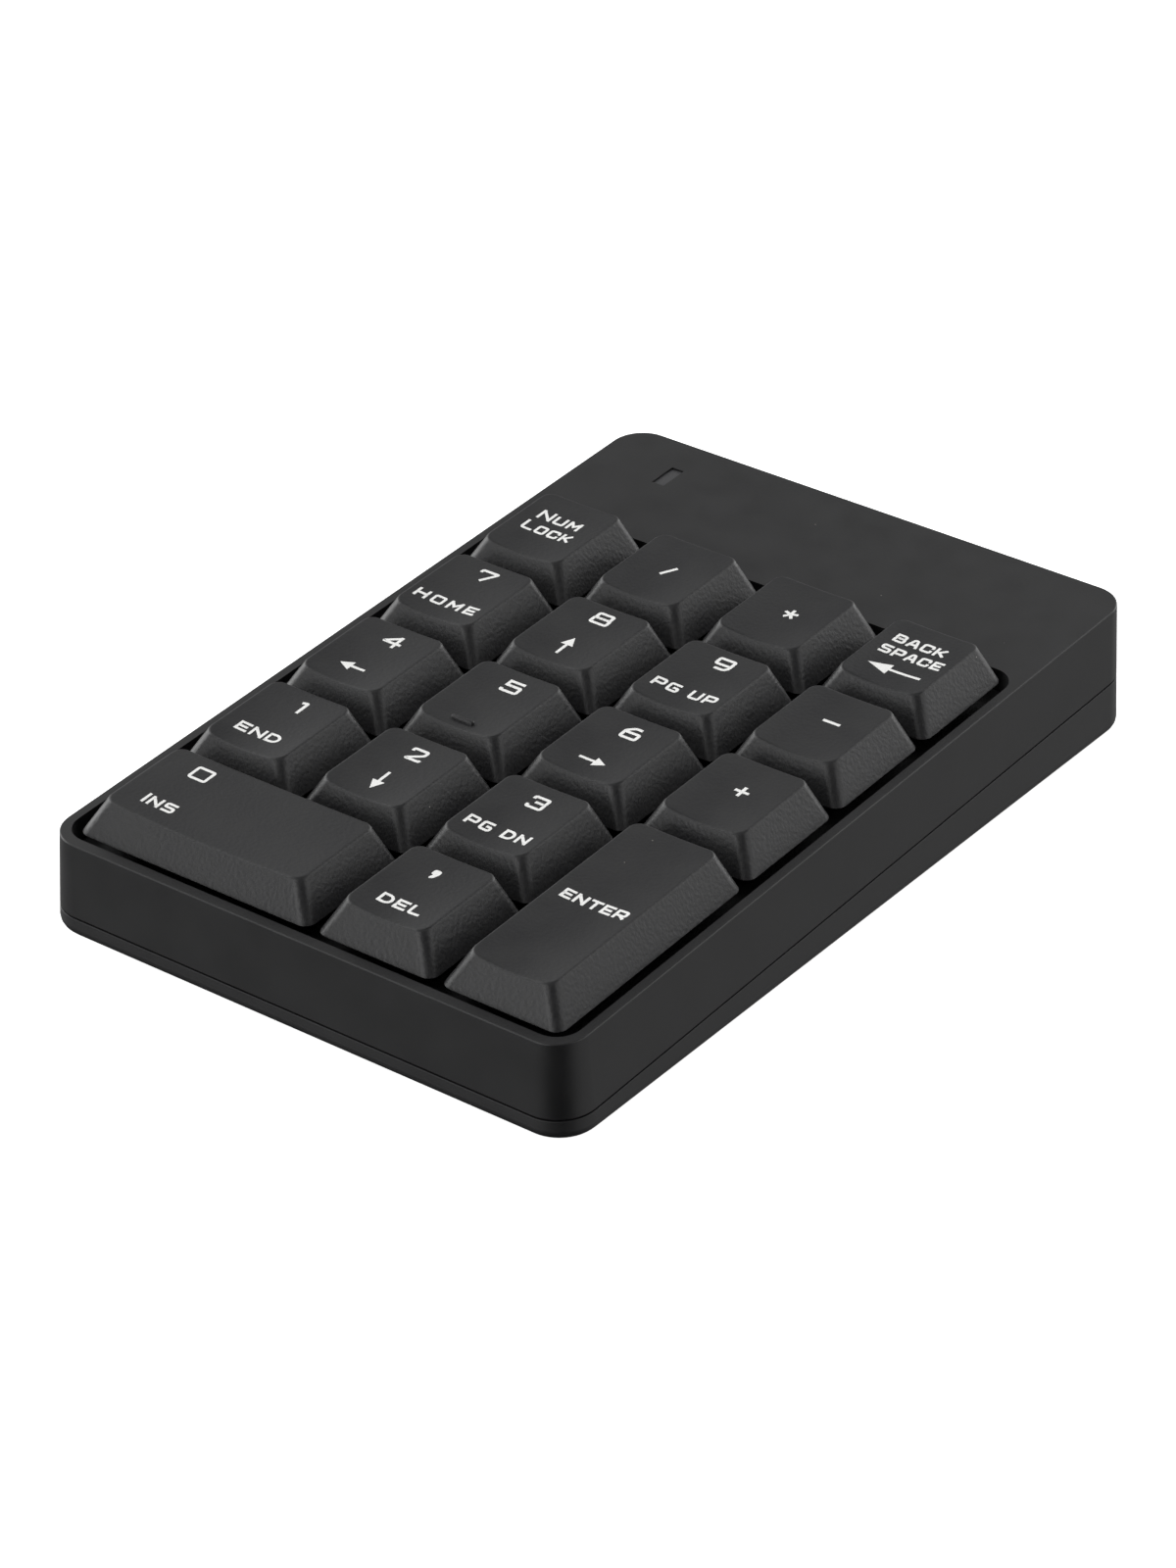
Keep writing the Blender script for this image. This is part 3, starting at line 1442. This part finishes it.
@dataclass
class CaseShells:
    """The two shells and the battery door: the CAD's own forms, smoothed and with softened edges."""

    edge_mm: float = 0.12

    def build(self) -> None:
        """Makes the upper shell, the lower shell and the door from merged copies of their nodes."""
        dress_nodes(Edge(32, self.edge_mm), (
            ("upper_case", CASE_ABS, "root", "case_plastic"),
            ("lower_case", LOWER_ABS, "root", "case_lower_plastic"),
            ("battery_door", LOWER_ABS, "battery_door", "case_lower_plastic")), "shell")


@dataclass
class DomeMat:
    """The silicone mat: a sheet, and a hollow dome below each key that gives way when it is pressed."""

    deck: Deck
    caps: dict[str, Keycap]
    under: float = -8.0
    sheet_top: float = -7.68
    dome_top: float = -4.6
    foot_r: float = 4.3
    hollow_r: float = 3.7
    top_r: float = 2.2
    pressed_share: float = 0.15

    def build(self) -> None:
        """Makes the sheet and the domes."""
        add_piece("dome_mat_sheet", self.sheet(), DOME_SILICONE, "root", Edge(32), "dome_silicone",
                  ("dome_mat",))
        for key, cap in self.caps.items():
            self.dome(key, cap)

    def sheet(self) -> bpy.types.Mesh:
        """Cuts the CAD mat off level with its sheet, and closes each dome's open foot with a ring.

        Returns:
            The sheet.
        """
        mesh = merged_copy("dome_mat")
        upward = Vector(self.deck.place(0, 0, 1) - self.deck.place(0, 0, 0)).normalized()
        with editing(mesh) as work:
            bmesh.ops.bisect_plane(work, geom=work.verts[:] + work.edges[:] + work.faces[:],
                                   plane_co=self.deck.place(0, 0, self.sheet_top), plane_no=upward,
                                   dist=1e-7, clear_outer=True)
            for cap in self.caps.values():
                middle = Vector(self.deck.place(cap.x, cap.s, self.sheet_top))
                open_edges = [edge for edge in work.edges if edge.is_boundary
                              and (edge.verts[0].co - middle).length < (self.foot_r + 0.5) * MM]
                bmesh.ops.bridge_loops(work, edges=open_edges)
            bmesh.ops.recalc_face_normals(work, faces=work.faces)
        return mesh

    def dome(self, key: str, cap: Keycap) -> None:
        """Adds one dome, which flattens as its key is pressed.

        It is a profile turned round the key's middle: first the outside, from the top to the foot,
        and then the hollow, back up to the axis.

        Args:
            key: The key's name.
            cap: Its keycap.
        """
        top, top_r, foot_r, under = self.dome_top, self.top_r, self.foot_r, self.under
        profile = np.array([
            [0, top], [top_r, top], [top_r + 0.25, top - 0.12], [top_r + 0.8, top - 0.7],
            [foot_r - 0.1, under + 0.85], [foot_r, under + 0.6], [foot_r, self.sheet_top],
            [self.hollow_r, self.sheet_top], [self.hollow_r, under + 0.5], [top_r + 0.1, under + 2.3],
            [top_r - 0.3, under + 2.5], [0, under + 2.5]])
        surface = Surface()
        surface.lathe(profile, cap.place)
        name = f"rubber_dome_{key}"
        piece = add_piece(name, surface.mesh(name), DOME_SILICONE, "root", Edge(50), "dome_silicone")
        foot = self.deck.place(cap.x, cap.s, self.under)
        up = self.deck.place(cap.x, cap.s, self.under + 1) - foot
        tuple(foot)
        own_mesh(piece)


@dataclass
class Mechanism:
    """What carries the keys: frame, contact films, plate and wires."""

    def build(self) -> None:
        """Dresses the frame, the films, the plate and the two stabiliser wires."""
        dress_nodes(Edge(32), (
            ("key_guide_frame", GUIDE_ABS, "root", "guide_plastic"),
            ("membrane_top", CONTACT_FILM, "root", "contact_film"),
            ("membrane_spacer", CONTACT_FILM, "root", "contact_film"),
            ("membrane_bottom", CONTACT_FILM, "root", "contact_film"),
            ("backing_plate", PLATE_STEEL, "root", "plate_steel")))
        dress_nodes(Edge(50), (
            ("stabiliser_wire_0", WIRE_STEEL, "stabiliser_wire_0", "wire_steel"),
            ("stabiliser_wire_enter", WIRE_STEEL, "stabiliser_wire_enter", "wire_steel")))


@dataclass
class Electrics:
    """Board, chip, small parts, lamp, light pipe, switch, contacts and cell."""

    film: float = 0.1
    film_over_end: float = 0.7
    film_bend: float = 0.5
    film_rings_at: float = 12.0
    can_inset: float = 0.3
    can_bevel: float = 0.7
    can_shoulder: float = 0.6
    button_r: float = 1.9
    button_h: float = 1.0
    button_edge: float = 0.2

    def build(self) -> None:
        """Dresses the electrical parts, each from a merged copy of its node, and draws the cell."""
        dress_nodes(Edge(40), (
            ("membrane_clamp", GUIDE_ABS, "root", "guide_plastic"),
            ("controller_board", BOARD_EPOXY, "root", "board_laminate"),
            ("controller_chip", CHIP_EPOXY, "root", "component_black"),
            ("board_parts", PART_METAL, "root", "component_metal"),
            ("status_led", LED_RESIN, "root", "led_resin"),
            ("light_pipe", WINDOW_ACRYLIC, "root", "window_plastic"),
            ("switch_body", SWITCH_METAL, "root", "switch_metal"),
            ("battery_spring_contact", CONTACT_NICKEL, "root", "contact_nickel"),
            ("battery_plate_contact", CONTACT_NICKEL, "root", "contact_nickel"),
            ("board_screws", BOARD_SCREW_STEEL, "root", "board_screw_steel")))
        self.cell()

    def cell(self) -> None:
        """Draws the cell on its node's axis: a steel can with its button, in a jacket of film.

        Both are lathed from radius and distance along the cell, 0 at the flat end. The film bends
        over each end of the can on a quarter circle.
        """
        low, high = (np.array(corner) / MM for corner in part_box("battery_cell"))
        middle, radius = (low + high) / 2, (high[2] - low[2]) / 2
        length = high[0] - low[0] - self.button_h

        def place(x: Array, y: Array, along: Array) -> Array:
            """World points about the cell's axis."""
            return np.stack([low[0] + along, middle[1] + x, middle[2] + y], -1) * MM

        a = np.radians((0, 30, 60, 90))
        bend_r = radius - self.film_bend + self.film_bend * np.cos(a)
        bend_along = self.film_bend * (1 - np.sin(a))
        lip = radius - self.film_bend - self.film_over_end
        bend = np.column_stack([bend_r, bend_along])[::-1]
        ring = self.film_rings_at
        outside = np.vstack([[lip, 0], bend, [[radius, ring], [radius, length - ring]],
                             (bend * (1, -1) + (0, length))[::-1], [lip, length]])
        inside = (outside[::-1] - (0, length / 2)) * (
            1 - self.film / radius, 1 - 2 * self.film / length) + (0, length / 2)
        end, button, edge = length - self.film, self.button_r, self.button_edge
        can_r, tip, shoulder = radius - self.can_inset, length + self.button_h, self.can_shoulder
        can = np.array([[0, self.film], [can_r - self.can_bevel, self.film], [can_r, shoulder],
                        [can_r, length - shoulder], [can_r - self.can_bevel, end], [button + 0.3, end],
                        [button, end + 0.2], [button, tip - edge], [button - edge, tip], [0, tip]])
        for name, profile, finish, slot, replaces in (
                ("battery_cell_jacket", np.vstack([outside, inside, outside[:1]]), BATTERY_FILM,
                 "battery_jacket", ("battery_cell",)),
                ("battery_cell_can", can, CONTACT_NICKEL, "contact_nickel", ())):
            surface = Surface()
            surface.lathe(profile, place, 48)
            add_piece(name, surface.mesh(name), finish, "root", Edge(50), slot, replaces)


@dataclass
class Underside:
    """Feet, screws and the power switch's slider."""

    def build(self) -> None:
        """Dresses what shows on the underside."""
        dress_nodes(Edge(40), (
            ("rubber_feet", FOOT_RUBBER, "root", "foot_rubber"),
            ("case_screws", CASE_SCREW_STEEL, "root", "screw_steel"),
            ("power_switch", GUIDE_ABS, "power_switch", "switch_plastic")))


# ---- Camera, image points and studio --------------------------------------------------------


@dataclass(frozen=True)
class Camera:
    """The photograph's camera: place, aim and lens, with no shift."""

    position: tuple[float, float, float] = (0.355863, -0.471459, 0.369809)
    azimuth: float = 37.233
    elevation: float = 31.637
    roll: float = -0.386
    lens: float = 123.946
    sensor: float = 36.0

    def axes(self) -> Array:
        """Works out the camera's directions from its azimuth, elevation and roll.

        Returns:
            Right, up and backward, as rows.
        """
        az, el, roll = (math.radians(v) for v in (self.azimuth, self.elevation, self.roll))
        ahead = np.array([-math.sin(az) * math.cos(el), math.cos(az) * math.cos(el), -math.sin(el)])
        level = np.array([math.cos(az), math.sin(az), 0.0])
        right = math.cos(roll) * level + math.sin(roll) * np.cross(level, ahead)
        return np.stack([right, np.cross(right, ahead), -ahead])

    def build(self) -> None:
        """Adds the camera and makes it the scene's own."""
        data = bpy.data.cameras.new("photo_camera")
        data.lens, data.sensor_width, data.sensor_fit = self.lens, self.sensor, "AUTO"
        data.clip_start, data.clip_end = 0.01, 20
        camera = bpy.data.objects.new("photo_camera", data)
        bpy.context.scene.collection.objects.link(camera)
        matrix = np.eye(4)
        matrix[:3, :3], matrix[:3, 3] = self.axes().T, self.position
        camera.matrix_world = Matrix(matrix.tolist())
        bpy.context.scene.camera = camera

    def ray(self, x: float, y: float) -> Vector:
        """The direction in which an image point lies."""
        local = (x - IMAGE_W / 2, IMAGE_H / 2 - y, -IMAGE_L * self.lens / self.sensor)
        return Vector(np.array(local) @ self.axes()).normalized()

    def project(self, points: Array) -> Array:
        """Finds where world points show in the image.

        Args:
            points: World points in metres, as rows.

        Returns:
            Image points, as rows of x and y.
        """
        local = (points - self.position) @ self.axes().T
        scale = IMAGE_L * self.lens / self.sensor / -local[:, 2:]
        return local[:, :2] * (1, -1) * scale + (IMAGE_W / 2, IMAGE_H / 2)


# The key whose print or middle each image point shows.
POINT_KEYS = {"num_lock": "num_lock", "divide": "divide", "multiply": "multiply",
              "space_word": "backspace", "seven": "7", "home": "7", "five": "5", "left_arrow": "4",
              "two": "2", "end": "1", "zero": "0", "insert": "0", "comma": "decimal",
              "plus": "plus", "enter": "enter"}


@dataclass
class Placer:
    """Finds the place on a finished piece that an image point shows."""

    camera: Camera
    deck: Deck
    caps: dict[str, Keycap]

    def hit(self, point: str, piece: str) -> Vector:
        """Casts the ray of an image point onto a piece, and takes the nearest place on a miss.

        Args:
            point: The image point's name.
            piece: The piece that carries what is placed.

        Returns:
            The place in metres.
        """
        graph = bpy.context.evaluated_depsgraph_get()
        tree = BVHTree.FromObject(bpy.data.objects[piece], graph)
        start = Vector(self.camera.position)
        ray = self.camera.ray(*IMAGE_POINTS[point])
        found = tree.ray_cast(start, ray)[0]
        if found is None:
            distance = (bpy.data.objects[piece].data.vertices[0].co - start).length
            found = tree.find_nearest(start + ray * distance)[0]
        return found

    def cap_place(self, point: str) -> Array:
        """The place of an image point from the front left corner of the cap that carries it.

        Args:
            point: The image point's name.

        Returns:
            Distances across and along the cap.
        """
        cap = self.caps[POINT_KEYS[point]]
        x, s, _ = self.deck.local(self.hit(point, f"cap_{POINT_KEYS[point]}"))
        return np.array([x - cap.x + cap.half_w, s - cap.s + cap.half_l])


@dataclass(frozen=True)
class SkyLobe:
    """A soft patch of light in the sky: where it is centred, how far it reaches and how bright."""

    towards: tuple[float, float, float]
    reach: float
    power: float

    def add(self, tree: Tree, way: Socket) -> Node:
        """Adds the patch's nodes: its power, fading smoothly from its centre to its reach.

        Args:
            tree: The world's node tree.
            way: The direction looked in.

        Returns:
            The node that gives its light.
        """
        nearness = add_node(tree, "VectorMath", {"operation": "DOT_PRODUCT"},
                            {1: Vector(self.towards).normalized()}, {0: way}).outputs["Value"]
        return add_node(tree, "MapRange", {"interpolation_type": "SMOOTHSTEP"}, {
            "From Min": math.cos(math.radians(self.reach)), "From Max": 1.0,
            "To Max": self.power}, {"Value": nearness})


@dataclass
class Studio:
    """A white floor under a soft sky, whose patches are fitted to the tones of the faces in view."""

    floor_half: float = 3.0
    lobes: tuple[SkyLobe, ...] = (
        SkyLobe((-0.15, -0.95, 0.20), 32, 3.35),
        SkyLobe((0.80, 0.30, 0.50), 35, 1.75),
        SkyLobe((0.30, 0.95, 0.10), 32, 2.60),
        SkyLobe((-0.20, 0.97, 0.10), 32, 0.40),
        SkyLobe((0.00, 0.85, 0.50), 32, 1.75),
        SkyLobe((-0.85, 0.25, 0.45), 35, 1.60),
        SkyLobe((-0.75, -0.30, 0.60), 35, 1.50),
        SkyLobe((0.10, -0.35, 0.93), 40, 0.62),
        SkyLobe((-1.00, -0.10, 0.10), 35, 3.20),
        SkyLobe((-0.50, -0.67, -0.55), 40, 0.30),
        SkyLobe((0.50, 0.67, -0.53), 40, 0.33),
        SkyLobe((0.95, 0.10, -0.30), 35, 0.68),
        SkyLobe((-0.51, 0.68, -0.45), 40, 0.32),
    )

    def build(self) -> None:
        """Adds the floor and the sky."""
        surface = Surface()
        x, y = np.meshgrid(np.linspace(-1, 1, 5), np.linspace(-1, 1, 5), indexing="xy")
        surface.grid(np.stack([x, y, 0 * x], -1) * self.floor_half)
        mesh = surface.mesh("floor")
        floor = bpy.data.objects.new("floor", mesh)
        bpy.context.scene.collection.objects.link(floor)
        mesh.materials.append(STUDIO_PAPER.material())
        floor.visible_diffuse = floor.visible_glossy = floor.visible_shadow = False
        floor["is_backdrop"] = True
        self.sky()
        bpy.context.scene.view_settings.view_transform = "Standard"

    def sky(self) -> None:
        """Adds up the sky's patches and lights the world with them."""
        world = bpy.data.worlds.new("studio")
        world.use_nodes = True
        tree = world.node_tree
        way = add_node(tree, "TexCoord").outputs["Generated"]
        total, *others = [lobe.add(tree, way) for lobe in self.lobes]
        for light in others:
            total = add_node(tree, "Math", {"operation": "ADD"}, links={0: total, 1: light})
        tree.links.new(total.outputs[0], tree.nodes["Background"].inputs["Strength"])
        tree.nodes["Background"].inputs["Color"].default_value = (1, 1, 1, 1)
        bpy.context.scene.world = world


def key_deck() -> Deck:
    """The deck: its front line as the CAD has it, and its tilt from the direction keys travel in."""
    travel = next(j["axis"] for j in frame["joints"] if j["name"] == "key_5_press")
    return Deck(DECK_FRONT[0], DECK_FRONT[1], math.asin(travel[1]))


def finished_points(piece: bpy.types.Object) -> Array:
    """Reads the points of a piece with its modifiers applied.

    Args:
        piece: The piece.

    Returns:
        World points in metres.
    """
    mesh = piece.evaluated_get(bpy.context.evaluated_depsgraph_get()).to_mesh()
    points = np.empty(len(mesh.vertices) * 3)
    mesh.vertices.foreach_get("co", points)
    return points.reshape(-1, 3)


def middle_on_deck(deck: Deck, points: Array) -> Array:
    """The x, s and n of the middle of the box, in deck directions, round world points."""
    local = deck.local(points)
    return (local.min(0) + local.max(0)) / 2


def print_middle(cap: Keycap, point: str) -> Array:
    """The world point where a cap's finished print shows its image point.

    Args:
        cap: The cap.
        point: The image point's name.

    Returns:
        The middle of the print that follows the point, less its shift, on the cap's top.
    """
    places = [middle_on_deck(cap.deck, finished_points(bpy.data.objects[f"legend_{cap.node[4:]}_{i}"]))[:2]
              - (cap.x, cap.s) - shift
              for i, (_, name, shift) in enumerate(cap.legends) if name == point]
    u, v = np.mean(places, axis=0)
    return cap.place(u, v, cap.top_level(u, v))


def report_points(camera: Camera, deck: Deck, caps: dict[str, Keycap]) -> None:
    """Args:
        camera: The photograph's camera.
        deck: The case's sloped top.
        caps: The keycaps by name.
    """
    seen = camera.project(np.vstack([finished_points(piece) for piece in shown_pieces()]))
    low, high = seen.min(0), seen.max(0)
    found = {"case_left": (low[0], None), "case_right": (high[0], None),
             "case_top": (None, low[1]), "case_bottom": (None, high[1])}
    window = finished_points(bpy.data.objects["light_pipe_part"])
    level = deck.local(window)[:, 2]
    face = deck.place(*middle_on_deck(deck, window[level > level.max() - 0.05]))
    found["status_window"] = camera.project(face[None])[0]
    for point, key in POINT_KEYS.items():
        found[point] = camera.project(print_middle(caps[key], point)[None])[0]
    off = {name: [None if at is None else round(float(at - want), 2)
                  for at, want in zip(found[name], IMAGE_POINTS[name])] for name in IMAGE_POINTS}


def main() -> None:
    """Builds the scene in order: camera, case, mat, mechanism, electrics, underside, keys, studio."""
    logging.basicConfig(level=logging.INFO, format="%(message)s")
    camera = Camera()
    camera.build()
    deck = key_deck()
    keys = [node[4:] for node in frame["nodes"] if node.startswith("key_") and node[4:] in LEGENDS]
    caps = {key: Keycap("key_" + key, deck, LEGENDS[key], key == "5") for key in keys}
    CaseShells().build()
    DomeMat(deck, caps).build()
    Mechanism().build()
    Electrics().build()
    Underside().build()
    for cap in caps.values():
        cap.build()
    placer = Placer(camera, deck, caps)
    for cap in caps.values():
        cap.print_legends(placer)
    Studio().build()
    report_points(camera, deck, caps)


if __name__ == "__main__":
    main()
